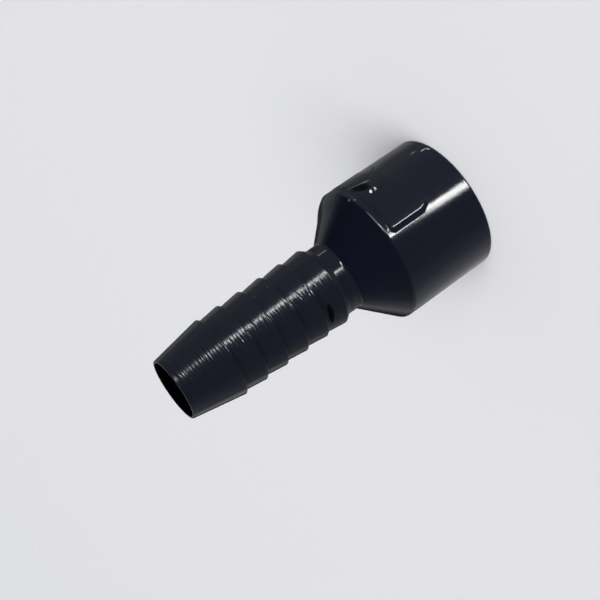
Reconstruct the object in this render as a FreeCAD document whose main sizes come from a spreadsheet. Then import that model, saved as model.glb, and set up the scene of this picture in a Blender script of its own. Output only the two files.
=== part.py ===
import FreeCAD, Part
import math
import os
import Sketcher

# Drain adapter: a hose tail, a short neck, a cone and a pipe socket, moulded as one hollow piece.
# It stands on its socket mouth: the origin is the centre of that mouth, and +Z runs up to the tail's tip.

# Sizes in millimetres, with angles in degrees and counts as plain numbers.
SIZES = (
    # Pipe socket
    ("socket_dia", 34.7, "outside of the socket"),
    ("socket_bore", 26.9, "inside of the socket, round the pipe"),
    ("socket_length", 24.0, "mouth to outside shoulder"),
    ("socket_depth", 24.0, "mouth to the stop that the pipe meets"),
    ("stop_ledge", 1.6, "width of the stop"),
    ("rim_round", 0.4, "round on the outer edge of the mouth"),
    ("mouth_chamfer", 0.8, "lead-in on the inner edge of the mouth"),
    ("shoulder_round", 0.8, "round between socket and cone"),
    # Cone and neck
    ("cone_length", 9.1, "shoulder to neck, along the axis"),
    ("neck_dia", 17.7, "outside of the neck"),
    ("neck_length", 3.2, "cone to the last ridge's back step"),
    ("neck_fillet", 1.6, "hollow between neck and cone"),
    ("back_step", 1.6, "length of the slope behind the last ridge"),
    # Hose tail
    ("tail_bore", 14.2, "waterway through tail and neck"),
    ("crest_dia", 20.1, "outside of the ridges"),
    ("ridge_count", 6, "ridges on the tail"),
    ("ridge_pitch", 5.85, "crest to crest"),
    ("ridge_depth", 0.7, "crest down to root"),
    ("ridge_land", 0.2, "flat on each crest"),
    ("ridge_step", 0.15, "length of the step behind each crest"),
    ("lead_length", 12.85, "tip to first crest"),
    ("tip_dia", 15.5, "outside of the tip"),
    ("tip_round", 0.2, "round on the outer edge of the tip"),
    # Raised bare pad on the socket, beside the shoulder
    ("pad_height", 0.3, "how far the pad stands proud"),
    ("pad_level", 10.9, "lower edge of the pad above the mouth"),
    ("pad_setback", 1.3, "from the shoulder down to the pad's upper edge"),
    ("pad_azimuth", -57.95, "middle of the pad, about the axis from +X"),
    ("pad_angle", 61.1, "how far the pad runs round the socket"),
    ("pad_slope", 1.45, "width of the gentle slope at both ends of the pad"),
    ("pad_upper_slope", 0.85, "width of the slope along its upper edge"),
    ("pad_lower_slope", 1.3, "width of the slope along its lower edge"),
    ("pad_upright", 0.02, "upright part of the pad's edges, below the slopes"),
    # Trimmed gate left by the mould
    ("gate_dia", 1.9, "trimmed gate"),
    ("gate_height", 0.3, "how far the gate stands proud of the pad"),
    ("gate_azimuth", -50.1, "place of the gate about the axis"),
    ("gate_level", 18.75, "place of the gate above the mouth"),
    # Allowances
    ("sunk", 0.6, "how deep raised details start inside the wall"),
    ("cut_margin", 0.5, "how far a cut reaches outside the crests"),
)

# Edges are told apart by their radius and height to this distance.
NEAR = 1e-4


class Length:
    """A length worked out from the sheet: its number, and the formula that ties a feature to it."""

    def __init__(self, number, formula):
        self.number = number
        self.formula = formula

    @staticmethod
    def of(value):
        return value if isinstance(value, Length) else Length(float(value), str(value))

    def __add__(self, other):
        other = Length.of(other)
        return Length(self.number + other.number, f"({self.formula} + {other.formula})")

    def __sub__(self, other):
        other = Length.of(other)
        return Length(self.number - other.number, f"({self.formula} - {other.formula})")

    def __mul__(self, other):
        other = Length.of(other)
        return Length(self.number * other.number, f"({self.formula} * {other.formula})")

    def __truediv__(self, other):
        other = Length.of(other)
        return Length(self.number / other.number, f"({self.formula} / {other.formula})")


doc = FreeCAD.newDocument("drain_adapter")

sheet = doc.addObject("Spreadsheet::Sheet", "Sizes")
for row, (alias, number, note) in enumerate(SIZES, start=1):
    sheet.set(f"A{row}", note)
    sheet.set(f"B{row}", str(number))
    sheet.setAlias(f"B{row}", alias)
doc.recompute()


def size(alias):
    """The named size of the sheet."""
    return Length(float(sheet.get(alias)), f"Sizes.{alias}")


def tie(feature, prop, length):
    """Binds one property of a feature to a length."""
    feature.setExpression(prop, length.formula)


# Radii
socket_radius = size("socket_dia") / 2
socket_bore_radius = size("socket_bore") / 2
stop_radius = socket_bore_radius - size("stop_ledge")
neck_radius = size("neck_dia") / 2
crest_radius = size("crest_dia") / 2
root_radius = crest_radius - size("ridge_depth")
tip_radius = size("tip_dia") / 2
tail_bore_radius = size("tail_bore") / 2

# Heights above the socket mouth
mouth = Length.of(0)
shoulder = size("socket_length")
cone_top = shoulder + size("cone_length")
neck_top = cone_top + size("neck_length")
last_crest = neck_top + size("back_step")
first_crest = last_crest + (size("ridge_count") - 1) * size("ridge_pitch")
tip = first_crest + size("lead_length")
stop = size("socket_depth")
# The inner cone runs parallel to the outer one
cone_slope = size("cone_length") / (socket_radius - neck_radius)
inner_cone_top = stop + (stop_radius - tail_bore_radius) * cone_slope


def origin_feature(body, role):
    """The body's own origin plane or axis of that role."""
    return next(item for item in body.Origin.OriginFeatures if item.Role == role)


def new_sketch(body, name, plane):
    """An empty sketch on one of the body's origin planes."""
    sketch = body.newObject("Sketcher::SketchObject", name)
    sketch.AttachmentSupport = [(origin_feature(body, plane), "")]
    sketch.MapMode = "FlatFace"
    return sketch


def turned_about_axis(sketch, azimuth):
    """Turns a sketch about Z, so that its local X points to that azimuth."""
    turn = FreeCAD.Rotation(FreeCAD.Vector(0, 1, 0), size(azimuth).number)
    sketch.AttachmentOffset = FreeCAD.Placement(FreeCAD.Vector(), turn)
    tie(sketch, "AttachmentOffset.Rotation.Angle", size(azimuth))


def closed_outline(sketch, points):
    """Straight sides through the points, each corner held at its own pair of lengths."""
    corners = [FreeCAD.Vector(x.number, y.number, 0) for x, y in points]
    for index, corner in enumerate(corners):
        sketch.addGeometry(Part.LineSegment(corner, corners[(index + 1) % len(corners)]), False)
    for index, (x, y) in enumerate(points):
        following = (index + 1) % len(points)
        sketch.addConstraint(Sketcher.Constraint("Coincident", index, 2, following, 1))
        for kind, length in (("DistanceX", x), ("DistanceY", y)):
            number = sketch.addConstraint(Sketcher.Constraint(kind, -1, 1, index, 1, length.number))
            sketch.renameConstraint(number, f"{kind}_{index}")
            tie(sketch, f"Constraints.{kind}_{index}", length)


def round_edges(shape, radius, height):
    """Names of the circular edges about Z with that radius and height."""
    names = []
    for number, edge in enumerate(shape.Edges, start=1):
        if not isinstance(edge.Curve, Part.Circle):
            continue
        curve = edge.Curve
        on_axis = math.hypot(curve.Center.x, curve.Center.y) < NEAR
        same_radius = abs(curve.Radius - radius.number) < NEAR
        same_height = abs(curve.Center.z - height.number) < NEAR
        if on_axis and same_radius and same_height:
            names.append(f"Edge{number}")
    return names


def straight_edge(shape, radius, azimuth):
    """Name of the edge along Z at that distance and azimuth from it."""
    angle = math.radians(azimuth.number)
    place = FreeCAD.Vector(radius.number * math.cos(angle), radius.number * math.sin(angle), 0)
    for number, edge in enumerate(shape.Edges, start=1):
        if not isinstance(edge.Curve, Part.Line) or abs(edge.Curve.Direction.z) < 1 - NEAR:
            continue
        if place.distanceToLine(edge.Curve.Location, edge.Curve.Direction) < NEAR:
            return f"Edge{number}"
    raise RuntimeError("a straight edge is missing")


def starts_on_cylinder(shape, name):
    """Whether the first of the two faces at that edge is the round one."""
    first = shape.ancestorsOfType(shape.getElement(name), Part.Face)[0]
    return isinstance(first.Surface, Part.Cylinder)


def dress(body, kind, name, places, **lengths):
    """A fillet or chamfer on those edges of the body's latest feature."""
    base = body.Tip
    if not places:
        raise RuntimeError(f"{name}: its edge is missing")
    feature = body.newObject(f"PartDesign::{kind}", name)
    feature.Base = (base, places)
    if "Size2" in lengths:
        feature.ChamferType = "Two distances"
    for prop, length in lengths.items():
        tie(feature, prop, length)
    doc.recompute()
    return feature


# The one piece: all features belong to this body
body = doc.addObject("PartDesign::Body", "adapter_body")
body.Label = "adapter_body"
body.Placement = FreeCAD.Placement()

# Wall section turned about Z: socket, cone, neck and tail outside, waterway and pipe stop inside.
# The tail is plain here, as wide as its crests.
wall_section = new_sketch(body, "wall_section", "XZ_Plane")
closed_outline(wall_section, [
    (socket_bore_radius, mouth),
    (socket_radius, mouth),
    (socket_radius, shoulder),
    (neck_radius, cone_top),
    (neck_radius, neck_top),
    (crest_radius, last_crest),
    (crest_radius, first_crest),
    (tip_radius, tip),
    (tail_bore_radius, tip),
    (tail_bore_radius, inner_cone_top),
    (stop_radius, stop),
    (socket_bore_radius, stop),
])
wall = body.newObject("PartDesign::Revolution", "moulded_wall")
wall.Profile = wall_section
wall.ReferenceAxis = (wall_section, ["V_Axis"])
wall.Angle = 360
doc.recompute()
plain_volume = body.Shape.Volume

# One notch behind the first crest: a short back slope down to the root, then the long taper
# up to the next crest. The others repeat it down the tail.
notch_section = new_sketch(body, "notch_section", "XZ_Plane")
land_end = first_crest - size("ridge_land")
root = land_end - size("ridge_step")
next_crest = first_crest - size("ridge_pitch")
outside = crest_radius + size("cut_margin")
closed_outline(notch_section, [
    (crest_radius, land_end),
    (root_radius, root),
    (crest_radius, next_crest),
    (outside, next_crest),
    (outside, land_end),
])
notch = body.newObject("PartDesign::Groove", "ridge_notch")
notch.Profile = notch_section
notch.ReferenceAxis = (notch_section, ["V_Axis"])
notch.Angle = 360
doc.recompute()
notches = body.newObject("PartDesign::LinearPattern", "ridge_notches")
notches.Originals = [notch]
notches.Direction = (origin_feature(body, "Z_Axis"), [""])
notches.Reversed = True
notches.Mode = "Spacing"
tie(notches, "Offset", size("ridge_pitch"))
tie(notches, "Occurrences", size("ridge_count") - 1)
body.Tip = notches
doc.recompute()
ridged_volume = body.Shape.Volume
if not ridged_volume < plain_volume:
    raise RuntimeError("the ridges were not cut")

# Rounds on the outer edges, the hollow at the neck and the pipe's lead-in
ROUNDS = (
    ("shoulder_edge", socket_radius, shoulder, "shoulder_round"),
    ("neck_hollow", neck_radius, cone_top, "neck_fillet"),
    ("rim_edge", socket_radius, mouth, "rim_round"),
    ("tip_edge", tip_radius, tip, "tip_round"),
)
for name, radius, height, alias in ROUNDS:
    dress(body, "Fillet", name, round_edges(body.Shape, radius, height), Radius=size(alias))
lead_in_edge = round_edges(body.Shape, socket_bore_radius, mouth)
dress(body, "Chamfer", "mouth_lead_in", lead_in_edge, Size=size("mouth_chamfer"))

# Raised pad: an arc of the socket's wall stands a little proud, from near the shoulder down towards
# the mouth
pad_radius = socket_radius + size("pad_height")
detail_root = socket_radius - size("sunk")
pad_bottom = size("pad_level")
pad_top = shoulder - size("pad_setback")
pad_section = new_sketch(body, "pad_section", "XZ_Plane")
turned_about_axis(pad_section, "pad_azimuth")
closed_outline(pad_section, [
    (detail_root, pad_bottom),
    (pad_radius, pad_bottom),
    (pad_radius, pad_top),
    (detail_root, pad_top),
])
pad = body.newObject("PartDesign::Revolution", "bare_pad")
pad.Profile = pad_section
pad.ReferenceAxis = (pad_section, ["V_Axis"])
pad.Midplane = True
tie(pad, "Angle", size("pad_angle"))
doc.recompute()
# Gentle slopes along its upper and lower edges, then one at each end
pad_rise = size("pad_height") - size("pad_upright")


def slope_down(name, edge, width):
    """Slopes the pad down to near the wall at that edge, over that width of its face."""
    turned = starts_on_cylinder(body.Shape, edge)
    slope = dress(body, "Chamfer", name, [edge], Size=pad_rise, Size2=width)
    slope.FlipDirection = turned
    doc.recompute()


pad_half = size("pad_angle") / 2
for name, level in (("pad_upper_slope", pad_top), ("pad_lower_slope", pad_bottom)):
    slope_down(name, round_edges(body.Shape, pad_radius, level)[0], size(name))
PAD_ENDS = (
    ("pad_front_slope", size("pad_azimuth") - pad_half),
    ("pad_side_slope", size("pad_azimuth") + pad_half),
)
for name, azimuth in PAD_ENDS:
    slope_down(name, straight_edge(body.Shape, pad_radius, azimuth), size("pad_slope"))

# Trimmed gate: a low round pip on the pad, turned about its own middle line
gate_face = pad_radius + size("gate_height")
gate_middle = size("gate_level")
gate_side = gate_middle + size("gate_dia") / 2
gate_section = new_sketch(body, "gate_section", "XZ_Plane")
turned_about_axis(gate_section, "gate_azimuth")
closed_outline(gate_section, [
    (detail_root, gate_middle),
    (gate_face, gate_middle),
    (gate_face, gate_side),
    (detail_root, gate_side),
])
gate = body.newObject("PartDesign::Revolution", "trimmed_gate")
gate.Profile = gate_section
gate.ReferenceAxis = (gate_section, ["Edge1"])
gate.Angle = 360

doc.recompute()
for item in doc.Objects:
    bad = [state for state in item.State if state in ("Invalid", "Error")]
    if bad:
        raise RuntimeError(f"{item.Name}: {bad}")
shape = body.Shape
if shape.isNull() or not shape.isValid() or len(shape.Solids) != 1:
    raise RuntimeError("adapter_body is not one valid solid")

os.makedirs("parts", exist_ok=True)
shape.exportStep("parts/adapter_body.step")
print("adapter_body", round(shape.Volume, 1), "mm3")
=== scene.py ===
# Looks of the drain adapter: one hollow moulding of dark glossy plastic that stands on its socket
# mouth. A Geometry Nodes tree turns its wall about Z from a section drawn here in millimetres.

import logging
import math
from dataclasses import dataclass, field, fields
from enum import Enum
from typing import Any, ClassVar, Iterable, Mapping, Sequence, Union

import bmesh
import bpy
from mathutils import Matrix, Vector

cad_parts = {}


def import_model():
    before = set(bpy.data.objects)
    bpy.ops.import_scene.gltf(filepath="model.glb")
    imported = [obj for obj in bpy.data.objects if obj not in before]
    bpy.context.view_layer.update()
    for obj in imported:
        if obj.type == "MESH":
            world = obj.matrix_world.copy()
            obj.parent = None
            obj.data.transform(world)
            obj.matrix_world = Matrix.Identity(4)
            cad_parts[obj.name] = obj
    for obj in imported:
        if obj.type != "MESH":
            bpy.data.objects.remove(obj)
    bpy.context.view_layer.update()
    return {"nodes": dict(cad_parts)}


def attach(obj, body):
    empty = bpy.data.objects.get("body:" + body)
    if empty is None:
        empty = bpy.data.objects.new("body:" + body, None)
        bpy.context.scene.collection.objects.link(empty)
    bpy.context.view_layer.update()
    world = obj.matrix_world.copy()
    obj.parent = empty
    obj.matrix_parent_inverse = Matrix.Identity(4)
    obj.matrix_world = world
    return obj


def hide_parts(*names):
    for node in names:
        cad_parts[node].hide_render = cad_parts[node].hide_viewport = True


LOG = logging.getLogger("drain_adapter")
MM = 0.001

Number = Union[int, float]
Pair = tuple[float, float]
Triple = tuple[float, float, float]


@dataclass(frozen=True)
class Wire:
    """An output socket on which Python arithmetic adds Math nodes."""

    bench: "Bench"
    socket: bpy.types.NodeSocket

    def __add__(self, other: "Wire | Number") -> "Wire":
        """Sum."""
        return self.bench.calc("ADD", self, other)

    def __radd__(self, other: Number) -> "Wire":
        """Sum with a number in front."""
        return self.bench.calc("ADD", other, self)

    def __sub__(self, other: "Wire | Number") -> "Wire":
        """Difference."""
        return self.bench.calc("SUBTRACT", self, other)

    def __rsub__(self, other: Number) -> "Wire":
        """Difference from a number."""
        return self.bench.calc("SUBTRACT", other, self)

    def __mul__(self, other: "Wire | Number") -> "Wire":
        """Product."""
        return self.bench.calc("MULTIPLY", self, other)

    def __rmul__(self, other: Number) -> "Wire":
        """Product with a number in front."""
        return self.bench.calc("MULTIPLY", other, self)

    def __truediv__(self, other: "Wire | Number") -> "Wire":
        """Quotient."""
        return self.bench.calc("DIVIDE", self, other)

    def __mod__(self, other: "Wire | Number") -> "Wire":
        """Remainder that stays positive."""
        return self.bench.calc("FLOORED_MODULO", self, other)


Value = Union[Wire, Number, bool, Sequence[float], bpy.types.ID]


class Bench:
    """Adds nodes to one shader or geometry tree."""

    def __init__(self, tree: bpy.types.NodeTree) -> None:
        """Takes over a tree and empties it.

        Args:
            tree: The node tree to build in.
        """
        self.tree = tree
        tree.nodes.clear()

    def node(
        self,
        kind: str,
        settings: Mapping[str, Any] | None = None,
        sockets: Mapping[str | int, Value] | None = None,
    ) -> bpy.types.Node:
        """Adds one node.

        Args:
            kind: The node's type.
            settings: Its settings, such as an operation, which are set first.
            sockets: Values or wires for its input sockets, by name or number.

        Returns:
            The new node.
        """
        made = self.tree.nodes.new(kind)
        for name, value in (settings or {}).items():
            setattr(made, name, value)
        for name, value in (sockets or {}).items():
            socket = made.inputs[name]
            if isinstance(value, Wire):
                self.tree.links.new(value.socket, socket)
            else:
                socket.default_value = value
        return made

    def out(self, made: bpy.types.Node, name: str | int = 0) -> Wire:
        """Wraps one output of a node."""
        return Wire(self, made.outputs[name])

    def calc(self, operation: str, *values: "Wire | Number") -> Wire:
        """Adds a Math node.

        Args:
            operation: The node's operation.
            values: Its inputs in order.

        Returns:
            The result.
        """
        made = self.node("ShaderNodeMath", {"operation": operation}, dict(enumerate(values)))
        return self.out(made)

    def vector(self, operation: str, *values: Value) -> Wire:
        """Adds a Vector Math node whose result is a vector."""
        made = self.node("ShaderNodeVectorMath", {"operation": operation}, dict(enumerate(values)))
        return self.out(made)

    def length(self, value: Wire) -> Wire:
        """Adds a Vector Math node that gives a vector's length."""
        made = self.node("ShaderNodeVectorMath", {"operation": "LENGTH"}, {0: value})
        return self.out(made, "Value")

    def split(self, value: Wire) -> tuple[Wire, ...]:
        """Adds a node that gives a vector's three parts."""
        made = self.node("ShaderNodeSeparateXYZ", None, {0: value})
        return tuple(self.out(made, axis) for axis in "XYZ")

    def join(self, x: Value, y: Value, z: Value) -> Wire:
        """Adds a node that makes a vector of three parts."""
        return self.out(self.node("ShaderNodeCombineXYZ", None, {"X": x, "Y": y, "Z": z}))

    def clamp(self, value: Wire) -> Wire:
        """Holds a value between 0 and 1."""
        return self.calc("MAXIMUM", self.calc("MINIMUM", value, 1.0), 0.0)

    def noise(self, place: Wire, scale: float, detail: float) -> Wire:
        """Adds a noise pattern and gives its value."""
        made = self.node(
            "ShaderNodeTexNoise", None, {"Vector": place, "Scale": scale, "Detail": detail}
        )
        return self.out(made)

    def ease(self, value: Wire, low: Value, high: Value) -> Wire:
        """Goes smoothly from 0 at low to 1 at high.

        Args:
            value: What is eased.
            low: Where the result starts to rise.
            high: Where it reaches 1.

        Returns:
            A value from 0 to 1.
        """
        made = self.node(
            "ShaderNodeMapRange",
            {"interpolation_type": "SMOOTHSTEP"},
            {"Value": value, "From Min": low, "From Max": high},
        )
        return self.out(made, "Result")

    def blend(self, share: Value, first: Value, second: Value) -> Wire:
        """Mixes two colours.

        Args:
            share: How much of the second shows.
            first: Colour at share 0.
            second: Colour at share 1.

        Returns:
            The mixed colour.
        """
        made = self.node("ShaderNodeMix", {"data_type": "RGBA"}, {0: share, 6: first, 7: second})
        return self.out(made, 2)


@dataclass(frozen=True)
class RaisedDetails:
    """Low raised details of the socket's wall, in millimetres and degrees about Z from +X.

    They are the bare pad with its gentle ends and cut corners, the lower patch beyond the pad's
    stepped far end, the low skirt above the pad's near corner, the trimmed gate, and a swelling
    that runs over the shoulder.
    """

    ANGLES: ClassVar[frozenset[str]] = frozenset({
        "pad_start", "widen_start", "widen_end", "far_end", "far_spread", "far_turn",
        "patch_start", "patch_full", "patch_end", "patch_fade", "skirt_start", "skirt_end",
        "skirt_start_fade", "skirt_end_fade", "gate_azimuth", "swell_azimuth",
    })

    pad_start: float = -88.5
    pad_bottom: float = 10.9
    pad_top: float = 22.7
    pad_height: float = 0.3
    end_slope: float = 1.45
    end_round: float = 0.2
    upper_slope: float = 0.85
    lower_slope: float = 1.3
    far_lower_slope: float = 3.4
    widen_start: float = -61.88
    widen_end: float = -44.69
    corner_across: float = 1.26
    corner_along: float = 2.5
    corner_slope: float = 0.95
    top_corner_across: float = 0.75
    top_corner_along: float = 0.75
    top_corner_slope: float = 1.9
    top_corner_soft: float = 0.4
    far_end: float = -36.1
    far_level: float = 16.8
    far_spread: float = 0.98
    far_turn: float = 3.0
    far_slope: float = 0.75
    patch_start: float = -33.0
    patch_full: float = -18.0
    patch_end: float = 0.0
    patch_fade: float = 0.573
    patch_gap: float = 2.4
    patch_slope: float = 2.2
    patch_height: float = 0.13
    skirt_height: float = 0.029
    skirt_width: float = 0.6
    skirt_reach: float = 1.5
    skirt_fade: float = 1.0
    skirt_start: float = -85.6
    skirt_start_fade: float = 1.146
    skirt_end: float = -79.6
    skirt_end_fade: float = 4.584
    gate_azimuth: float = -50.1
    gate_level: float = 18.75
    gate_radius: float = 0.95
    gate_height: float = 0.3
    gate_slope: float = 0.35
    gate_dish: float = 0.24
    swell_azimuth: float = 4.0
    swell_level: float = 25.9
    swell_height: float = 0.5
    swell_across: float = 8.0
    swell_along: float = 2.6

    def inputs(self) -> dict[str, float]:
        """Names the sizes for the tree and turns the angles into radians.

        Returns:
            The values of the tree's inputs by name.
        """
        made = {}
        for item in fields(self):
            value = getattr(self, item.name)
            turned = math.radians(value) if item.name in self.ANGLES else value
            made[item.name.replace("_", " ").title()] = turned
        return made


class Sheen(Enum):
    """How smooth the mould left a stretch of the plastic."""

    POLISHED = 0.1
    SATIN = 0.17
    MATT = 0.5


@dataclass(frozen=True)
class PaintedLightSpot:
    """A small oval spot of the outer wall where a highlight or shade is painted, by its place, half
    sizes, turn and strength.

    Lengths are in millimetres and angles in degrees, and depth is its half size into the wall.
    """

    azimuth: float
    level: float
    across: float
    along: float
    turn: float = 0.0
    share: float = 1.0
    radius: float = 17.35
    depth: float = 1.6


def on_wall(radius: float, azimuth: float, level: float) -> Triple:
    """Place on an upright round wall.

    Args:
        radius: The wall's radius.
        azimuth: Direction about Z from +X, in degrees.
        level: Height above the mouth.

    Returns:
        The place, in the unit of the radius.
    """
    turn = math.radians(azimuth)
    return (radius * math.cos(turn), radius * math.sin(turn), level)


@dataclass(frozen=True)
class MouldedPlastic:
    """Dark grey-blue moulded plastic, polished on socket and neck and satin on the tail.

    Lengths are in millimetres, and a pair of heights or radii is where a change starts and ends.
    """

    name: str = "dark_moulded_plastic"
    body: Triple = (0.0040, 0.0047, 0.0100)
    cloudy: Triple = (0.0048, 0.0055, 0.0112)
    # paler colour for the matt slope behind the last ridge: a painted sheen that brightens it as a
    # reflection would
    matt_body: Triple = (0.0105, 0.0122, 0.0222)
    # colour of painted highlights: pale spots painted where glints show
    torn: Triple = (0.82, 0.83, 0.86)
    # painted shade: a dark, dull colour that stands in for the shade inside the bore and in a few
    # spots
    hollow: Triple = (0.0008, 0.0008, 0.0010)
    specular: float = 0.5
    tail_heights: Pair = (36.0, 38.0)
    matt_heights: Pair = (36.3, 37.85)
    matt_edge: float = 0.15
    tip_heights: Pair = (69.0, 79.0)
    rim_heights: Pair = (8.0, 19.0)
    bore_radii: Pair = (7.1, 7.35)
    cloud_scale: float = 0.12
    grain_size: float = 0.35
    streak_scale: Triple = (1.0, 1.0, 4.5)
    wander_scale: float = 0.45
    line_pitch: float = 0.67
    line_wander: float = 1.5
    finer_from: float = 67.5
    finer: float = 0.4
    line_relief: float = 0.5
    grain_relief: float = 0.5
    rim_grain: float = 1.3
    bump_strength: float = 0.3
    bump_depth: float = 0.02
    wall_unevenness: float = 0.03
    tail_unevenness: float = 0.12
    grain_unevenness: float = 0.04
    torn_dullness: float = 0.4
    tip_dullness: float = 0.03
    hollow_roughness: float = 0.8
    mark_edge: Pair = (0.6, 1.05)
    # painted highlights: two glints on the gate's crest, three near the rim, two dots on the
    # shoulder, a line along the pad's far step and a line along the shoulder's edge
    pale_marks: tuple[PaintedLightSpot, ...] = (
        PaintedLightSpot(-50.1, 19.5, 0.57, 0.4, -15.0),
        PaintedLightSpot(-50.1, 18.25, 0.66, 0.4, -15.0, 0.9),
        PaintedLightSpot(-43.3, 1.9, 0.24, 0.8, 0.0, 0.45),
        PaintedLightSpot(-45.2, 1.0, 0.8, 0.24, 17.0, 0.45),
        PaintedLightSpot(-39.2, 4.0, 0.24, 0.85, 0.0, 0.16),
        PaintedLightSpot(-42.6, 24.3, 0.42, 0.22, 0.0, 0.12),
        PaintedLightSpot(-47.1, 23.5, 0.3, 0.26, 0.0, 0.18),
        PaintedLightSpot(-35.2, 19.15, 0.34, 2.8, -16.5, 0.34),
        PaintedLightSpot(-73.0, 23.95, 4.0, 0.2, 0.0, 0.1),
    )
    # painted shade: a dark wedge beside the gate, a dark crescent on the tail's ridges and the
    # gate's dished middle
    dark_marks: tuple[PaintedLightSpot, ...] = (
        PaintedLightSpot(-40.0, 20.1, 1.75, 2.6, -44.0, 0.8),
        PaintedLightSpot(-132.0, 41.9, 3.7, 0.85, -3.0, 0.85, 9.7),
        PaintedLightSpot(-49.6, 18.5, 0.28, 0.2, 0.0, 0.95),
    )

    def build(self) -> bpy.types.Material:
        """Makes the material.

        Returns:
            The new material.
        """
        material = bpy.data.materials.new(self.name)
        material.use_nodes = True
        bench = Bench(material.node_tree)
        place = bench.out(bench.node("ShaderNodeTexCoord"), "Object")
        in_mm = bench.vector("MULTIPLY", place, (1.0 / MM, 1.0 / MM, 1.0 / MM))
        height = bench.split(in_mm)[2]
        tail = bench.ease(height, *self.tail_heights)
        matt = self._matt(bench, height)
        # share of painted highlight, which paints these glints pale and dulls them
        torn = self._spots(bench, in_mm, self.pale_marks)
        grain = bench.noise(in_mm, 1.0 / self.grain_size, 3.0)
        streaks = bench.noise(bench.vector("MULTIPLY", in_mm, self.streak_scale), 1.0, 3.0)
        cloud = bench.noise(in_mm, self.cloud_scale, 2.0)
        colour = bench.blend(cloud, (*self.body, 1.0), (*self.cloudy, 1.0))
        # paints the matt slope paler, a painted sheen on top of its higher roughness
        colour = bench.blend(matt, colour, (*self.matt_body, 1.0))
        # paints the glints in pale
        colour = bench.blend(torn, colour, (*self.torn, 1.0))
        roughness = (
            Sheen.POLISHED.value
            + tail * (Sheen.SATIN.value - Sheen.POLISHED.value)
            + (streaks - 0.5) * (tail * self.tail_unevenness + self.wall_unevenness)
            + (grain - 0.5) * self.grain_unevenness
            + torn * self.torn_dullness
            + matt * (Sheen.MATT.value - Sheen.SATIN.value)
            + bench.ease(height, *self.tip_heights) * self.tip_dullness
        )
        grainy = (1 - bench.ease(height, *self.rim_heights)) * self.rim_grain + self.grain_relief
        lined = streaks + self._lines(bench, in_mm, height) * self.line_relief
        bump = bench.node("ShaderNodeBump", None, {
            "Strength": self.bump_strength,
            "Distance": self.bump_depth * MM,
            "Height": grain * grainy + lined * tail,
        })
        wall = bench.node("ShaderNodeBsdfPrincipled", None, {
            "Base Color": colour,
            "Roughness": roughness,
            "Specular IOR Level": self.specular,
            "Normal": bench.out(bump),
        })
        # dark, dull shader without reflection that paints the shade
        hollow = bench.node("ShaderNodeBsdfPrincipled", None, {
            "Base Color": (*self.hollow, 1.0),
            "Roughness": self.hollow_roughness,
            "Specular IOR Level": 0.0,
        })
        # mixes the painted shade in over the bore and the shade spots
        shown = bench.node("ShaderNodeMixShader", None, {
            0: self._darkened(bench, in_mm), 1: bench.out(wall), 2: bench.out(hollow)
        })
        bench.node("ShaderNodeOutputMaterial", None, {"Surface": bench.out(shown)})
        material.diffuse_color = (*self.body, 1.0)
        return material

    def _matt(self, bench: Bench, height: Wire) -> Wire:
        """Finds the matt slope behind the last ridge.

        Args:
            bench: The material's tree.
            height: The place's height, in millimetres.

        Returns:
            1 on the slope and 0 elsewhere.
        """
        start, end = self.matt_heights
        above = bench.ease(height, start, start + self.matt_edge)
        return above * (1 - bench.ease(height, end - self.matt_edge, end))

    def _lines(self, bench: Bench, in_mm: Wire, height: Wire) -> Wire:
        """Adds fine turned lines that wander a little and lie closer together at the tip.

        Args:
            bench: The material's tree.
            in_mm: The place, in millimetres.
            height: Its height.

        Returns:
            A wave between -1 and 1.
        """
        wander = bench.noise(in_mm, self.wander_scale, 2.0)
        closer = bench.calc("MAXIMUM", height - self.finer_from, 0.0) * self.finer
        turns = height / self.line_pitch + closer + wander * self.line_wander
        return bench.calc("SINE", turns * math.tau)

    def _darkened(self, bench: Bench, in_mm: Wire) -> Wire:
        """Finds where shade is painted: the bore's inside and the painted shade spots.

        Args:
            bench: The material's tree.
            in_mm: The place, in millimetres.

        Returns:
            1 in the bore and in the middle of a shade spot, and 0 elsewhere.
        """
        from_axis = bench.length(bench.vector("MULTIPLY", in_mm, (1.0, 1.0, 0.0)))
        inside = 1 - bench.ease(from_axis, *self.bore_radii)
        return bench.calc("MAXIMUM", inside, self._spots(bench, in_mm, self.dark_marks))

    def _spots(self, bench: Bench, in_mm: Wire, marks: Iterable[PaintedLightSpot]) -> Wire:
        """How strongly a place lies in one of the painted spots, from 0 to 1.

        Args:
            bench: The material's tree.
            in_mm: The place, in millimetres.
            marks: The marks.

        Returns:
            The strength.
        """
        strength = None
        for mark in marks:
            local = bench.node("ShaderNodeMapping", {"vector_type": "TEXTURE"}, {
                "Vector": in_mm,
                "Location": on_wall(mark.radius, mark.azimuth, mark.level),
                "Rotation": (0.0, math.radians(-mark.turn), math.radians(mark.azimuth + 90.0)),
                "Scale": (mark.across, mark.depth, mark.along),
            })
            away = bench.length(bench.out(local))
            own = (1 - bench.ease(away, *self.mark_edge)) * mark.share
            strength = own if strength is None else bench.calc("MAXIMUM", strength, own)
        return strength


@dataclass(frozen=True)
class PalePaint:
    """Plain pale surface of the floor."""

    name: str = "pale_floor"
    colour: Triple = (0.79, 0.79, 0.82)

    def build(self) -> bpy.types.Material:
        """Makes the material.

        Returns:
            The new material.
        """
        material = bpy.data.materials.new(self.name)
        material.use_nodes = True
        bench = Bench(material.node_tree)
        shader = bench.node(
            "ShaderNodeBsdfPrincipled",
            None,
            {"Base Color": (*self.colour, 1.0), "Roughness": 0.9, "Specular IOR Level": 0.1},
        )
        bench.node("ShaderNodeOutputMaterial", None, {"Surface": bench.out(shader)})
        return material


@dataclass(frozen=True)
class Corner:
    """A corner of the wall's section, and how the straight run after it is divided."""

    r: float
    z: float
    rounding: float = 0.0
    step: float = 4.0
    ripple: float = 0.0
    raised: float = 0.0
    fine: tuple[Triple, ...] = ()


@dataclass(frozen=True)
class SectionPoint:
    """One point of the section, with its shares of the ripple and of the raised details."""

    r: float
    z: float
    ripple: float
    raised: float


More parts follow.
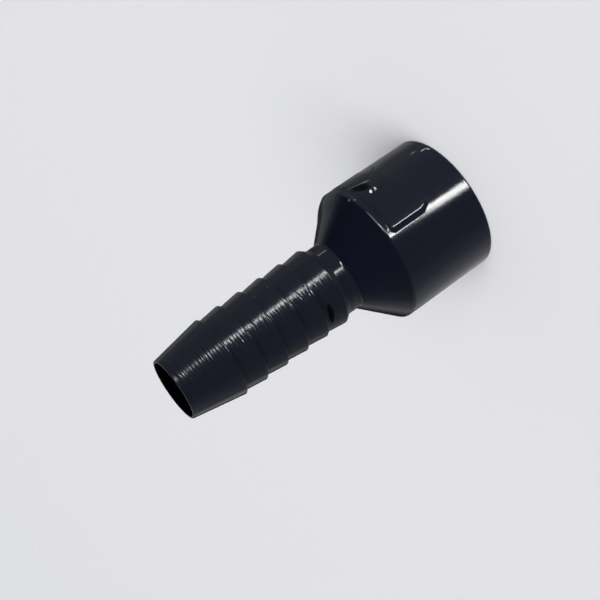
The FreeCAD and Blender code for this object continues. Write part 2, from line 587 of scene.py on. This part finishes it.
@dataclass
class WallSection:
    """The wall's section in millimetres, as in the part's source.

    A fine band is a lowest height, a highest height and the step between points there.
    """

    socket_dia: float = 34.7
    socket_bore: float = 26.9
    socket_length: float = 24.0
    stop_ledge: float = 1.6
    rim_round: float = 0.4
    mouth_chamfer: float = 0.8
    shoulder_round: float = 0.8
    cone_length: float = 9.1
    neck_dia: float = 17.7
    neck_length: float = 3.2
    neck_fillet: float = 1.6
    back_step: float = 1.6
    back_hollow: float = 0.12
    back_round: float = 0.14
    tail_bore: float = 14.2
    crest_dia: float = 20.1
    ridge_count: int = 6
    ridge_pitch: float = 5.85
    ridge_depth: float = 0.7
    ridge_land: float = 0.2
    ridge_step: float = 0.15
    lead_length: float = 12.85
    tip_dia: float = 15.5
    tip_round: float = 0.2
    edge_round: float = 0.12
    inner_round: float = 0.2
    throat_round: float = 1.0
    crest_round: float = 0.09
    support: float = 0.06
    arc_step: float = math.radians(13.0)
    ripple_step: float = 0.19
    band_gap: float = 0.004
    detail_heights: tuple[Triple, ...] = (
        (10.5, 10.86, 0.18),
        (10.9, 12.2, 0.2),
        (12.3, 17.5, 0.6),
        (17.6, 19.9, 0.19),
        (20.65, 21.8, 0.23),
        (21.85, 22.7, 0.12),
        (22.76, 23.36, 0.12),
    )
    swell_heights: tuple[Triple, ...] = ((24.5, 29.0, 0.4),)

    @property
    def first_crest(self) -> float:
        """Height of the crest nearest the tip."""
        return self.last_crest + (self.ridge_count - 1) * self.ridge_pitch

    @property
    def last_crest(self) -> float:
        """Height of the crest nearest the neck."""
        return self.socket_length + self.cone_length + self.neck_length + self.back_step

    @property
    def tip(self) -> float:
        """Height of the tail's tip."""
        return self.first_crest + self.lead_length

    def corners(self) -> list[Corner]:
        """Lists the section's corners from the mouth's lead-in round the outside to the bore.

        Returns:
            The corners in order.
        """
        socket, bore = self.socket_dia / 2, self.socket_bore / 2
        neck, crest, tail_bore = self.neck_dia / 2, self.crest_dia / 2, self.tail_bore / 2
        shoulder = self.socket_length
        neck_start = shoulder + self.cone_length
        neck_end = neck_start + self.neck_length
        stop = bore - self.stop_ledge
        slope = self.cone_length / (socket - neck)
        edge = self.edge_round
        made = [
            Corner(bore, self.mouth_chamfer),
            Corner(bore + self.mouth_chamfer, 0.0, edge),
            Corner(socket, 0.0, self.rim_round, step=1.2, raised=1.0, fine=self.detail_heights),
            Corner(
                socket, shoulder, self.shoulder_round, step=1.0, raised=1.0, fine=self.swell_heights
            ),
            Corner(neck, neck_start, self.neck_fillet, step=0.8),
            Corner(neck, neck_end, self.back_hollow, step=0.5),
            Corner(crest, self.last_crest, self.back_round, step=self.ripple_step, ripple=1.0),
        ]
        for ridge in range(1, self.ridge_count):
            top = self.last_crest + ridge * self.ridge_pitch
            land = top - self.ridge_land
            root = crest - self.ridge_depth
            made.append(Corner(root, land - self.ridge_step, edge))
            made.append(Corner(crest, land, self.crest_round))
            made.append(
                Corner(crest, top, self.crest_round, step=self.ripple_step, ripple=1.0)
            )
        made += [
            Corner(self.tip_dia / 2, self.tip, self.tip_round),
            Corner(tail_bore, self.tip, edge, step=6.0),
            Corner(
                tail_bore, shoulder + (stop - tail_bore) * slope, self.throat_round, step=2.0
            ),
            Corner(stop, shoulder, self.inner_round),
            Corner(bore, shoulder, self.inner_round, step=6.0),
        ]
        return made

    def points(self) -> list[SectionPoint]:
        """Rounds the corners and divides the straight runs between them.

        Returns:
            The section's points in order, round the whole closed outline.
        """
        corners = self.corners()
        count = len(corners)
        arcs = [
            self._arc(corners[i - 1], corners[i], corners[(i + 1) % count]) for i in range(count)
        ]
        made: list[SectionPoint] = []
        for i, corner in enumerate(corners):
            start, end = arcs[i][-1], arcs[(i + 1) % count][0]
            before = corners[i - 1]
            last = len(arcs[i]) - 1
            for k, (r, z) in enumerate(arcs[i]):
                share = k / last if last else 1.0
                ripple = before.ripple + (corner.ripple - before.ripple) * share
                made.append(SectionPoint(r, z, ripple, max(before.raised, corner.raised)))
            made += self._run(corner, start, end)
        return made

    def _arc(self, before: Corner, corner: Corner, after: Corner) -> list[Pair]:
        """Rounds a corner.

        Args:
            before: The corner before it.
            corner: The corner to round.
            after: The next corner.

        Returns:
            Points of the arc, or the corner alone where it stays sharp.
        """
        here = Vector((corner.r, corner.z))
        come = (here - Vector((before.r, before.z))).normalized()
        go = (Vector((after.r, after.z)) - here).normalized()
        turn = come.angle(go)
        if corner.rounding <= 0.0 or turn < self.arc_step / 4:
            return [(here.x, here.y)]
        start = here - come * (corner.rounding * math.tan(turn / 2))
        side = (go - come * go.dot(come)).normalized()
        centre = start + side * corner.rounding
        parts = max(2, math.ceil(turn / self.arc_step))
        made = []
        for k in range(parts + 1):
            angle = turn * k / parts
            spot = centre - side * (corner.rounding * math.cos(angle))
            spot += come * (corner.rounding * math.sin(angle))
            made.append((spot.x, spot.y))
        return made

    def _run(self, corner: Corner, start: Pair, end: Pair) -> list[SectionPoint]:
        """Divides the run between two corners, closely at both ends and in the fine bands.

        Args:
            corner: The corner that the run starts from.
            start: Where the run starts.
            end: Where it ends.

        Returns:
            The points between, without the two ends.
        """
        length = math.dist(start, end)
        if length < 3 * self.support:
            return []
        rise, gap = end[1] - start[1], self.band_gap
        shares = {self.support / length, 1.0 - self.support / length}
        steps = max(1, math.ceil(length / corner.step))
        coarse = [k / steps for k in range(1, steps)]
        bands = []
        for low, high, step in corner.fine:
            first, last = (low - start[1]) / rise, (high - start[1]) / rise
            bands.append((first, last))
            parts = math.ceil((high - low) / step)
            shares.update(first + (last - first) * k / parts for k in range(parts + 1))
        shares.update(s for s in coarse if not any(a - gap < s < b + gap for a, b in bands))
        inside = sorted(s for s in shares if 0.0 < s < 1.0)
        return [
            SectionPoint(
                start[0] + (end[0] - start[0]) * s,
                start[1] + rise * s,
                corner.ripple,
                corner.raised,
            )
            for s in inside
        ]


@dataclass
class TurningRing:
    """Directions in which the section is repeated, closer together at the raised details.

    A fine band is a first direction, a last direction and the step there, in degrees.
    """

    step: float = 2.5
    least_gap: float = 0.75
    tiny: float = 1e-6
    fine: tuple[Triple, ...] = (
        (-88.9, -80.9, 0.4),
        (-53.8, -46.4, 0.45),
        (-36.4, -23.2, 0.7),
    )

    def angles(self) -> list[float]:
        """Lists the directions.

        Returns:
            Angles about Z in radians, once round.
        """
        made: list[float] = []
        place = -180.0
        while place < 180.0 - self.least_gap:
            made.append(math.radians(place))
            after = place + self.tiny
            steps = [step for low, high, step in self.fine if low <= after < high]
            place += steps[0] if steps else self.step
            starts = [low for low, _, _ in self.fine if place - self.step < low < place]
            if starts and not steps:
                place = starts[0]
        return made


@dataclass(frozen=True)
class TurnedRipple:
    """Fine turned lines round the tail, deeper in some places than in others.

    Lengths are in millimetres, and facing is the direction, east and north, of the deeper side.
    """

    pitch: float = 0.78
    depth: float = 0.025
    patch_scale: Triple = (2.2, 2.2, 0.9)
    wander: float = 2.2
    overtone: float = 3.9
    overtone_share: float = 0.4
    deep_patches: Pair = (0.3, 0.62)
    patch_share: float = 0.6
    start_heights: Pair = (40.0, 47.0)
    facing: Pair = (0.34, -0.94)
    facing_edge: Pair = (0.6, 0.85)
    plain_share: float = 0.25

    def build(
        self, bench: Bench, given: bpy.types.Node, height: Wire, east: Wire, north: Wire
    ) -> Wire:
        """Adds the lines to the tree.

        Args:
            bench: The tree.
            given: The tree's inputs.
            height: Each point's height.
            east: How far each point faces +X.
            north: How far it faces +Y.

        Returns:
            The height of the lines over the wall.
        """
        x, y, z = self.patch_scale
        noise = bench.node("ShaderNodeTexNoise", {"noise_dimensions": "4D"}, {
            "Vector": bench.join(east * x, north * y, height * z),
            "W": bench.out(given, "Seed"),
            "Scale": 1.0,
            "Detail": 3.0,
        })
        uneven = bench.out(noise)
        turns = height / bench.out(given, "Ripple Pitch") + uneven * self.wander
        second = bench.calc("SINE", turns * self.overtone) * self.overtone_share
        wave = bench.calc("SINE", turns * math.tau) + second
        patches = bench.ease(uneven, *self.deep_patches) * self.patch_share
        started = bench.ease(height, *self.start_heights) * (1 - self.patch_share)
        faced = bench.ease(north * self.facing[1] + east * self.facing[0], *self.facing_edge)
        deeper = self.plain_share + faced * (1 - self.plain_share)
        return wave * bench.out(given, "Ripple Depth") * (patches + started) * deeper


@dataclass(frozen=True)
class Relief:
    """The socket's raised details as expressions on the tree's inputs.

    Height, azimuth and radius are those of each point of the plain wall.
    """

    bench: Bench
    given: bpy.types.Node
    height: Wire
    azimuth: Wire
    radius: Wire
    least_cosine: float = 0.5

    def build(self) -> Wire:
        """Height of all details over the socket's wall and the shoulder."""
        return self._pad() + self._gate() + self._swell()

    def _size(self, name: str) -> Wire:
        """One of the tree's inputs."""
        return self.bench.out(self.given, name)

    def _pad(self) -> Wire:
        """Builds the pad with the lower patch beyond it and the skirt above its corner.

        Returns:
            Its height over the plain wall.
        """
        bench = self.bench
        from_end = (self.azimuth - self._size("Pad Start")) * self.radius
        from_bottom = self.height - self._size("Pad Bottom")
        from_top = self._size("Pad Top") - self.height
        lower, upper = self._lower(from_end, from_bottom), self._upper(from_end, from_top)
        sides = bench.clamp(bench.calc("MINIMUM", lower, upper))
        edge = bench.calc("MINIMUM", self._near_end(from_end), sides)
        plateau, patch = self._plateau(), self._patch()
        pad = edge * (patch + plateau * (self._size("Pad Height") - patch))
        return bench.calc("MAXIMUM", pad, self._skirt(from_top) * plateau)

    def _corner(self, name: str, from_end: Wire, from_side: Wire) -> Wire:
        """Rise behind a corner that is cut off at a slant."""
        across, along = self._size(f"{name} Across"), self._size(f"{name} Along")
        return (from_end / across + from_side / along - 1) / self._size(f"{name} Slope")

    def _lower(self, from_end: Wire, from_bottom: Wire) -> Wire:
        """Builds the lower slope, which widens towards the far end.

        Args:
            from_end: Distance from the near end.
            from_bottom: Distance from the lower edge.

        Returns:
            0 at the pad's foot and 1 at the slope's top.
        """
        near, far = self._size("Lower Slope"), self._size("Far Lower Slope")
        start, end = self._size("Widen Start"), self._size("Widen End")
        slope = near + self.bench.ease(self.azimuth, start, end) * (far - near)
        corner = self._corner("Corner", from_end, from_bottom)
        return self.bench.calc("MINIMUM", from_bottom / slope, corner)

    def _upper(self, from_end: Wire, from_top: Wire) -> Wire:
        """Builds the upper slope, which runs softly into its cut corner.

        Args:
            from_end: Distance from the near end.
            from_top: Distance from the upper edge.

        Returns:
            0 at the pad's foot and 1 at the slope's top.
        """
        slope = from_top / self._size("Upper Slope")
        corner = self._corner("Top Corner", from_end, from_top)
        return self.bench.calc("SMOOTH_MIN", slope, corner, self._size("Top Corner Soft"))

    def _near_end(self, from_end: Wire) -> Wire:
        """Builds the slope at the near end, rounded at its top.

        Args:
            from_end: Distance from the near end.

        Returns:
            0 at the pad's foot and 1 at the slope's top.
        """
        rounding = self._size("End Round")
        inset = self.bench.clamp(from_end / self._size("End Slope"))
        past = self.bench.calc("MAXIMUM", inset - (1 - rounding), 0.0)
        return (inset - past * past / (rounding * 2)) / (1 - rounding / 2)

    def _plateau(self) -> Wire:
        """Ends the pad's top at its stepped far end.

        Returns:
            1 on the pad's top and 0 beyond the far end.
        """
        off_level = self.height - self._size("Far Level")
        above = off_level * self._size("Far Spread")
        below = off_level * self._size("Far Turn") * -1
        far_end = self._size("Far End") + self.bench.calc("MAXIMUM", above, below)
        return self.bench.clamp((far_end - self.azimuth) * self.radius / self._size("Far Slope"))

    def _patch(self) -> Wire:
        """Builds the patch beyond the far end, cut flat where the wall faces +X.

        Returns:
            Its height over the plain wall.
        """
        bench, azimuth, end = self.bench, self.azimuth, self._size("Patch End")
        bottom = self._size("Pad Bottom") + self._size("Patch Gap")
        patch = bench.ease(self.height, bottom, bottom + self._size("Patch Slope"))
        patch = patch * (1 - bench.ease(azimuth, end - self._size("Patch Fade"), end))
        patch = patch * self._size("Patch Height")
        patch = patch * bench.ease(azimuth, self._size("Patch Start"), self._size("Patch Full"))
        cosine = bench.calc("MAXIMUM", bench.calc("COSINE", azimuth - end), self.least_cosine)
        return bench.calc("MINIMUM", patch, self.radius / cosine - self.radius)

    def _skirt(self, from_top: Wire) -> Wire:
        """Builds the low skirt above the pad's near corner.

        Args:
            from_top: Distance from the pad's upper edge.

        Returns:
            Its height over the plain wall.
        """
        bench, reach = self.bench, self._size("Skirt Reach")
        start, end = self._size("Skirt Start"), self._size("Skirt End")
        skirt = bench.clamp(1 + from_top / self._size("Skirt Width"))
        skirt = skirt * skirt * self._size("Skirt Height")
        skirt = skirt * (1 - bench.ease(from_top, reach, reach + self._size("Skirt Fade")))
        skirt = skirt * bench.ease(self.azimuth, start, start + self._size("Skirt Start Fade"))
        return skirt * (1 - bench.ease(self.azimuth, end - self._size("Skirt End Fade"), end))

    def _gate(self) -> Wire:
        """Builds the trimmed gate, dished in its middle.

        Returns:
            Its height over the plain wall.
        """
        across = (self.azimuth - self._size("Gate Azimuth")) * self.radius
        up = self.height - self._size("Gate Level")
        away = self.bench.calc("SQRT", across * across + up * up)
        rim = self._size("Gate Radius")
        top = rim - self._size("Gate Slope")
        shown = (1 - self.bench.ease(away, top, rim)) * self._size("Gate Height")
        return shown - (1 - self.bench.ease(away, 0.0, top)) * self._size("Gate Dish")

    def _swell(self) -> Wire:
        """Builds the swelling that runs over the shoulder.

        Returns:
            Its height over the plain wall.
        """
        across = (self.azimuth - self._size("Swell Azimuth")) * self.radius
        across = across / self._size("Swell Across")
        up = (self.height - self._size("Swell Level")) / self._size("Swell Along")
        away = self.bench.calc("SQRT", across * across + up * up)
        return (1 - self.bench.ease(away, 0.0, 1.0)) * self._size("Swell Height")


@dataclass
class AdapterMoulding:
    """The whole adapter: one moulding with one wall."""

    section: WallSection = field(default_factory=WallSection)
    details: RaisedDetails = field(default_factory=RaisedDetails)
    ripple: TurnedRipple = field(default_factory=TurnedRipple)
    ring: TurningRing = field(default_factory=TurningRing)
    finish: MouldedPlastic = field(default_factory=MouldedPlastic)
    seed: float = 4.0
    weld: float = 0.002
    hard_edge: float = 17.0

    def build(self) -> bpy.types.Object:
        """Turns the wall and dresses it.

        Returns:
            The finished piece.
        """
        material = self.finish.build()
        points = self.section.points()
        profile = self._points_object("wall_section", [(p.r, 0.0, p.z) for p in points])
        for name in ("ripple", "raised"):
            layer = profile.data.attributes.new(name, "FLOAT", "POINT")
            layer.data.foreach_set("value", [getattr(p, name) for p in points])
        directions = [(math.cos(a), math.sin(a), 0.0) for a in self.ring.angles()]
        ring = self._points_object("turning_ring", directions)
        inputs = self._inputs(ring, material)
        tree = self._tree(inputs)
        modifier = profile.modifiers.new("turned_wall", "NODES")
        modifier.node_group = tree
        for name, value in inputs.items():
            modifier[tree.interface.items_tree[name].identifier] = value
        bpy.context.view_layer.update()
        depsgraph = bpy.context.evaluated_depsgraph_get()
        mesh = bpy.data.meshes.new_from_object(profile.evaluated_get(depsgraph))
        mesh.name = "adapter_moulding"
        profile.modifiers.remove(modifier)
        bpy.data.objects.remove(profile)
        bpy.data.objects.remove(ring)
        self._finish_mesh(mesh, material)
        piece = bpy.data.objects.new("adapter_moulding", mesh)
        bpy.context.scene.collection.objects.link(piece)
        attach(piece, "root")
        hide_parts("adapter_body")
        return piece

    @staticmethod
    def _points_object(name: str, points: Sequence[Triple]) -> bpy.types.Object:
        """Makes a helper object of bare points.

        Args:
            name: The helper's name.
            points: Its points.

        Returns:
            The helper object.
        """
        mesh = bpy.data.meshes.new(name)
        mesh.from_pydata(points, [], [])
        helper = bpy.data.objects.new(name, mesh)
        bpy.context.scene.collection.objects.link(helper)
        return helper

    def _finish_mesh(self, mesh: bpy.types.Mesh, material: bpy.types.Material) -> None:
        """Points the faces outwards, shades them smooth and keeps hard edges hard.

        Args:
            mesh: The turned wall.
            material: Its material.
        """
        shape = bmesh.new()
        shape.from_mesh(mesh)
        if shape.calc_volume(signed=True) < 0.0:
            bmesh.ops.reverse_faces(shape, faces=shape.faces)
        LOG.info(
            "wall: %d faces, %.2f cm3, open edges %d",
            len(shape.faces),
            shape.calc_volume() * 1e6,
            sum(1 for e in shape.edges if not e.is_manifold),
        )
        shape.to_mesh(mesh)
        shape.free()
        mesh.shade_smooth()
        mesh.set_sharp_from_angle(angle=math.radians(self.hard_edge))
        mesh.materials.clear()
        mesh.materials.append(material)

    def _inputs(self, ring: bpy.types.Object, material: bpy.types.Material) -> dict[str, Any]:
        """Values of the tree's inputs by name."""
        return {
            "Turning Ring": ring,
            "Plastic": material,
            "Ripple Pitch": self.ripple.pitch,
            "Ripple Depth": self.ripple.depth,
            "Seed": self.seed,
            **self.details.inputs(),
        }

    def _tree(self, inputs: Mapping[str, Any]) -> bpy.types.GeometryNodeTree:
        """Builds the tree that turns the section about Z and raises its details.

        Args:
            inputs: Values of the tree's inputs by name.

        Returns:
            The node tree.
        """
        tree = bpy.data.node_groups.new("turned_wall", "GeometryNodeTree")
        sockets = tree.interface
        sockets.new_socket("Geometry", in_out="INPUT", socket_type="NodeSocketGeometry")
        kinds = {bpy.types.Object: "NodeSocketObject", bpy.types.Material: "NodeSocketMaterial"}
        for name, value in inputs.items():
            kind = kinds.get(type(value), "NodeSocketFloat")
            sockets.new_socket(name, in_out="INPUT", socket_type=kind)
        sockets.new_socket("Result", in_out="OUTPUT", socket_type="NodeSocketGeometry")
        bench = Bench(tree)
        given = bench.node("NodeGroupInput")
        profile = bench.out(given, "Geometry")
        shown = bench.node(
            "GeometryNodeObjectInfo", None, {"Object": bench.out(given, "Turning Ring")}
        )
        ring = bench.out(shown, "Geometry")
        around, along = self._count(bench, ring), self._count(bench, profile)
        grid = bench.node(
            "GeometryNodeMeshGrid", None, {"Vertices X": along + 1, "Vertices Y": around + 1}
        )
        index = bench.out(bench.node("GeometryNodeInputIndex"))
        column = bench.calc("FLOOR", (index + 0.5) / (around + 1))
        section_at = column % along
        ring_at = (index - column * (around + 1)) % around
        place = bench.out(bench.node("GeometryNodeInputPosition"))
        spot = self._sample(bench, profile, "FLOAT_VECTOR", place, section_at)
        facing = self._sample(bench, ring, "FLOAT_VECTOR", place, ring_at)
        radius, _, height = bench.split(spot)
        east, north, _ = bench.split(facing)
        ripple, raised = (
            self._sample(bench, profile, "FLOAT", self._named(bench, name), section_at)
            for name in ("ripple", "raised")
        )
        azimuth = bench.calc("ARCTAN2", north, east)
        lines = self.ripple.build(bench, given, height, east, north)
        details = Relief(bench, given, height, azimuth, radius).build()
        turned = radius + lines * ripple + details * raised
        moved = bench.node("GeometryNodeSetPosition", None, {
            "Geometry": bench.out(grid),
            "Position": bench.vector(
                "MULTIPLY", bench.join(turned * east, turned * north, height), (MM, MM, MM)
            ),
        })
        closed = bench.node("GeometryNodeMergeByDistance", None, {
            "Geometry": bench.out(moved), "Distance": self.weld * MM
        })
        real = bench.node("GeometryNodeRealizeInstances", None, {"Geometry": bench.out(closed)})
        dressed = bench.node("GeometryNodeSetMaterial", None, {
            "Geometry": bench.out(real), "Material": bench.out(given, "Plastic")
        })
        bench.node("NodeGroupOutput", None, {"Result": bench.out(dressed)})
        return tree

    @staticmethod
    def _count(bench: Bench, geometry: Wire) -> Wire:
        """Number of points in a geometry."""
        made = bench.node("GeometryNodeAttributeDomainSize", None, {"Geometry": geometry})
        return bench.out(made, "Point Count")

    @staticmethod
    def _named(bench: Bench, name: str) -> Wire:
        """Each point's own value of a named share."""
        return bench.out(
            bench.node("GeometryNodeInputNamedAttribute", {"data_type": "FLOAT"}, {"Name": name})
        )

    @staticmethod
    def _sample(bench: Bench, geometry: Wire, kind: str, value: Wire, index: Wire) -> Wire:
        """Reads a value from the point with that number."""
        made = bench.node(
            "GeometryNodeSampleIndex",
            {"data_type": kind, "domain": "POINT"},
            {"Geometry": geometry, "Value": value, "Index": index},
        )
        return bench.out(made)


@dataclass(frozen=True)
class SoftStrip:
    """A soft strip lamp that faces the adapter, placed by the directions of its two ends.

    A direction is an azimuth from -Y towards +X and an elevation, in degrees, seen from the
    adapter. Width is in degrees too, and distance and the height it aims at are in metres.
    """

    name: str
    start: Pair
    end: Pair
    width: float
    brightness: float
    distance: float = 0.9
    aim: float = 0.03
    glint_only: bool = False

    def build(self) -> bpy.types.Object:
        """Hangs the lamp.

        Returns:
            The lamp's object.
        """
        first, last = (towards(*end) * self.distance for end in (self.start, self.end))
        along, middle = last - first, (first + last) / 2
        lamp = bpy.data.lights.new(self.name, "AREA")
        lamp.shape = "RECTANGLE"
        lamp.size = along.length
        lamp.size_y = 2 * self.distance * math.tan(math.radians(self.width / 2))
        lamp.energy = math.pi * lamp.size * lamp.size_y * self.brightness
        back = middle.normalized()
        side = (along - back * along.dot(back)).normalized()
        turned = Matrix((side, back.cross(side), back)).transposed().to_4x4()
        holder = bpy.data.objects.new(self.name, lamp)
        holder.matrix_world = Matrix.Translation(middle + Vector((0.0, 0.0, self.aim))) @ turned
        holder.visible_camera = False
        holder.visible_diffuse = not self.glint_only
        bpy.context.scene.collection.objects.link(holder)
        return holder


def towards(azimuth: float, elevation: float) -> Vector:
    """Unit vector of a direction.

    Args:
        azimuth: Angle from -Y towards +X, in degrees.
        elevation: Angle above the level, in degrees.

    Returns:
        The vector.
    """
    turn, rise = math.radians(azimuth), math.radians(elevation)
    level = math.cos(rise)
    return Vector((math.sin(turn) * level, -math.cos(turn) * level, math.sin(rise)))


@dataclass(frozen=True)
class Step:
    """A smooth step along one part of a direction, from low to high, by an amount."""

    low: float
    high: float
    amount: float = 1.0

    def on(self, bench: Bench, part: Wire) -> Wire:
        """The step's value."""
        return bench.ease(part, self.low, self.high) * self.amount

    def until(self, bench: Bench, part: Wire, end: "Step") -> Wire:
        """The step's value, taken back by a later step."""
        return self.on(bench, part) * (1 - end.on(bench, part))


@dataclass(frozen=True)
class Surroundings:
    """Plain room as reflections see it: pale behind the adapter, dim in front of it and above.

    A direction's parts are x to the right, y away from the camera and z up.
    """

    sides: Step = Step(-0.3, 0.3)
    front: float = 0.18
    front_right: float = 0.15
    front_top: Step = Step(0.05, 0.6)
    front_end: Step = Step(0.25, 0.7)
    left_start: Step = Step(-0.5, -0.1, 0.12)
    left_rise: Step = Step(-0.25, 1.0, 0.65)
    left_end: Step = Step(0.78, 0.9, 0.2)
    left_heights: tuple[Step, ...] = (
        Step(-0.42, -0.33, -0.5),
        Step(-0.33, -0.1, -0.25),
        Step(-0.06, 0.14, 0.95),
        Step(0.2, 0.44, -0.85),
    )
    lift_start: Step = Step(0.5, 0.72)
    lift_low: Step = Step(-0.27, -0.09, 0.85)
    lift_high: Step = Step(-0.05, 0.03, 0.85)
    lift_dip: tuple[Step, Step] = (Step(0.0, 0.2, 0.5), Step(0.25, 0.44))
    far_start: Step = Step(0.8, 0.93)
    far_low: Step = Step(-0.45, -0.38, 0.5)
    far_band: tuple[Step, Step] = (Step(-0.3, -0.2, 0.45), Step(-0.08, 0.02))
    right_rise: Step = Step(0.38, 0.72, 0.4)
    right_top: Step = Step(0.2, 0.7, 0.6)
    right_dip: tuple[Step, Step] = (Step(-0.41, -0.36, 0.7), Step(-0.34, -0.22))
    right_end: Step = Step(0.82, 0.93)
    right_end_low: Step = Step(-0.3, -0.15, 0.85)
    warmth: Step = Step(-0.3, 0.5)

    def build(self, bench: Bench) -> tuple[Wire, Wire]:
        """Adds the room to the world's tree.

        Args:
            bench: The world's tree.

        Returns:
            Its brightness and its warmth by direction.
        """
        way = bench.out(bench.node("ShaderNodeTexCoord"), "Generated")
        x, y, z = bench.split(way)
        side = self.sides.on(bench, x)
        low = 1 - self.front_top.on(bench, z)
        front = (self.front + side * self.front_right) * low * (1 - self.front_end.on(bench, y))
        back = self._left(bench, y, z) * (1 - side) + self._right(bench, y, z) * side
        return front + back, self.warmth.on(bench, y)

    def _left(self, bench: Bench, y: Wire, z: Wire) -> Wire:
        """Brightens the left side by how far back and how high a direction points.

        Args:
            bench: The world's tree.
            y: How far back the direction points.
            z: How high it points.

        Returns:
            The left side's brightness.
        """
        by_height = 1.0
        for step in self.left_heights:
            by_height = by_height + step.on(bench, z)
        lift = self.lift_low.on(bench, z) - self.lift_high.on(bench, z)
        rise, fall = self.lift_dip
        lift = lift - rise.until(bench, z, fall)
        by_height = by_height + lift * self.lift_start.on(bench, y)
        rise, fall = self.far_band
        far = self.far_low.on(bench, z) + rise.until(bench, z, fall)
        by_height = by_height * (1 - self.far_start.on(bench, y) * far)
        left = self.left_start.on(bench, y) + self.left_rise.on(bench, y)
        return (left - self.left_end.on(bench, y)) * by_height

    def _right(self, bench: Bench, y: Wire, z: Wire) -> Wire:
        """Brightens the right side by how far back and how high a direction points.

        Args:
            bench: The world's tree.
            y: How far back the direction points.
            z: How high it points.

        Returns:
            The right side's brightness.
        """
        rise, fall = self.right_dip
        right = self.right_rise.on(bench, y) * (1 - self.right_top.on(bench, z))
        right = right * (1 - rise.until(bench, z, fall))
        return right * (1 - self.right_end.on(bench, y) * self.right_end_low.on(bench, z))


@dataclass
class Studio:
    """Plain pale floor, soft lamps, pale surroundings and the photograph's camera."""

    floor_size: float = 12.0
    pale: Triple = (0.78, 0.79, 0.82)
    cool: Triple = (0.66, 0.74, 0.97)
    backdrop: float = 0.945
    fill: float = 0.35
    room: Surroundings = field(default_factory=Surroundings)
    sun_strength: float = 2.5
    sun_way: Pair = (-12.0, 62.0)
    sun_width: float = 50.0
    lens: float = 71.69
    sensor: float = 36.0
    nearest: float = 0.01
    camera_at: Triple = (0.0, -0.263339, 0.128414)
    camera_right: Triple = (-0.57196, -0.25036, -0.78114)
    camera_up: Triple = (0.82028, -0.17604, -0.54420)
    lamps: tuple[SoftStrip, ...] = (
        SoftStrip("edge_front", (9.0, -36.0), (24.0, -36.0), 5.0, 2.5),
        SoftStrip("rim_front", (-0.2, -31.5), (0.0, -28.9), 8.6, 16.0),
        SoftStrip("mid_front", (2.8, -29.2), (2.8, -26.3), 8.6, 30.0),
        SoftStrip("low_front", (4.3, -25.6), (5.6, -22.8), 7.8, 30.0),
        SoftStrip("front", (9.0, -20.6), (22.0, -8.0), 5.5, 13.0),
        SoftStrip("front_right", (23.9, -8.0), (24.9, -1.2), 6.2, 29.0, glint_only=True),
        SoftStrip("upper_right", (25.0, 0.6), (26.5, 9.5), 7.5, 8.0, glint_only=True),
        SoftStrip("right_glint", (92.0, -21.4), (92.0, -17.5), 2.6, 3.0),
        SoftStrip("tip_glint", (173.0, 11.0), (187.0, 11.0), 5.0, 0.5, glint_only=True),
    )

    def build(self) -> None:
        """Sets the stage up."""
        self._floor()
        self._sun()
        for lamp in self.lamps:
            lamp.build()
        self._world()
        self._camera()
        bpy.context.scene.view_settings.view_transform = "Standard"

    def _floor(self) -> None:
        """Lays the floor under the socket's mouth."""
        half = self.floor_size / 2
        mesh = bpy.data.meshes.new("floor")
        mesh.from_pydata(
            [(-half, -half, 0.0), (half, -half, 0.0), (half, half, 0.0), (-half, half, 0.0)],
            [],
            [(0, 1, 2, 3)],
        )
        mesh.materials.append(PalePaint().build())
        floor = bpy.data.objects.new("floor", mesh)
        bpy.context.scene.collection.objects.link(floor)
        floor.visible_glossy = False
        floor.visible_shadow = False

    def _sun(self) -> None:
        """Hangs a wide overhead lamp that lights the whole floor evenly."""
        lamp = bpy.data.lights.new("overhead", "SUN")
        lamp.energy = self.sun_strength
        lamp.angle = math.radians(self.sun_width)
        holder = bpy.data.objects.new("overhead", lamp)
        holder.rotation_mode = "QUATERNION"
        holder.rotation_quaternion = (-towards(*self.sun_way)).to_track_quat("-Z", "Y")
        holder.visible_glossy = False
        bpy.context.scene.collection.objects.link(holder)

    def _world(self) -> None:
        """Pale surroundings for what the camera and reflections see, and plain fill elsewhere."""
        world = bpy.data.worlds.new("surroundings")
        bpy.context.scene.world = world
        world.use_nodes = True
        bench = Bench(world.node_tree)
        path = bench.node("ShaderNodeLightPath")
        seen = bench.out(path, "Is Camera Ray")
        mirrored = bench.calc(
            "MAXIMUM", bench.out(path, "Is Glossy Ray"), bench.out(path, "Is Transmission Ray")
        )
        brightness, warmth = self.room.build(bench)
        unseen = mirrored * brightness + (1 - mirrored) * self.fill
        strength = seen * self.backdrop + (1 - seen) * unseen
        hue = bench.calc("MAXIMUM", warmth, 1 - mirrored)
        colour = bench.blend(hue, (*self.cool, 1.0), (*self.pale, 1.0))
        background = bench.node(
            "ShaderNodeBackground", None, {"Color": colour, "Strength": strength}
        )
        bench.node("ShaderNodeOutputWorld", None, {"Surface": bench.out(background)})

    def _camera(self) -> None:
        """Places the camera at the photograph's viewing angle."""
        data = bpy.data.cameras.new("camera")
        data.lens = self.lens
        data.sensor_width = self.sensor
        data.clip_start = self.nearest
        camera = bpy.data.objects.new("camera", data)
        right, up = Vector(self.camera_right).normalized(), Vector(self.camera_up).normalized()
        back = right.cross(up).normalized()
        turned = Matrix((right, back.cross(right), back)).transposed().to_4x4()
        camera.matrix_world = Matrix.Translation(Vector(self.camera_at)) @ turned
        bpy.context.scene.collection.objects.link(camera)
        bpy.context.scene.camera = camera


def main() -> None:
    """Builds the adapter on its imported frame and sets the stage."""
    logging.basicConfig(level=logging.INFO, format="%(name)s: %(message)s")
    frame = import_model()
    LOG.info("frame: %s", sorted(frame["nodes"]))
    piece = AdapterMoulding().build()
    LOG.info("%s: %d faces", piece.name, len(piece.data.polygons))
    Studio().build()


if __name__ == "__main__":
    main()
